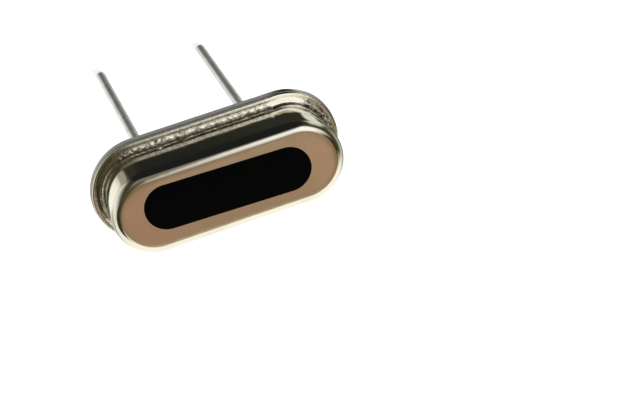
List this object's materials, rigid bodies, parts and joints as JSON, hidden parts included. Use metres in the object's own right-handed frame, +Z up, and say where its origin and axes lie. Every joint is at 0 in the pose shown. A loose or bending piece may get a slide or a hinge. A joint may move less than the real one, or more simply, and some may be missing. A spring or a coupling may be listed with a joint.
{
  "type": "crystal oscillator",
  "caption": "Low-profile quartz crystal in a flanged, slot-shaped metal can with two straight wire leads for soldering through a circuit board.",
  "frame": {"origin": "midway between the two leads in the seating plane, which is the underside of the base", "axes": "+Z up through the can, away from the board; +X along the row of the two leads; the leads point down along -Z"},
  "size_m": [0.0108, 0.0044, 0.0172],
  "materials": {
    "nickel_can": "bright nickel plate, warm in tone",
    "nickel_base": "bright nickel plate on steel",
    "seal_glass": "opaque dark sealing glass, glossy",
    "tinned_wire": "dull tinned wire with fine drawing lines",
    "spring_strip": "bright spring strip",
    "quartz": "lapped quartz, slightly frosted",
    "silver_film": "evaporated silver film",
    "cement": "silver-filled cement, matte",
    "black_ink": "smooth black ink"
  },
  "bodies": {
    "root": {"can": "nickel_can", "base": "nickel_base", "glass_seal_left": "seal_glass", "glass_seal_right": "seal_glass", "lead_left": "tinned_wire", "lead_right": "tinned_wire", "clip_left": "spring_strip", "clip_right": "spring_strip", "crystal_plate": "quartz", "electrode_front": "silver_film", "electrode_back": "silver_film", "cement_left": "cement", "cement_right": "cement", "marking_patch": "black_ink"}
  },
  "joints": []
}
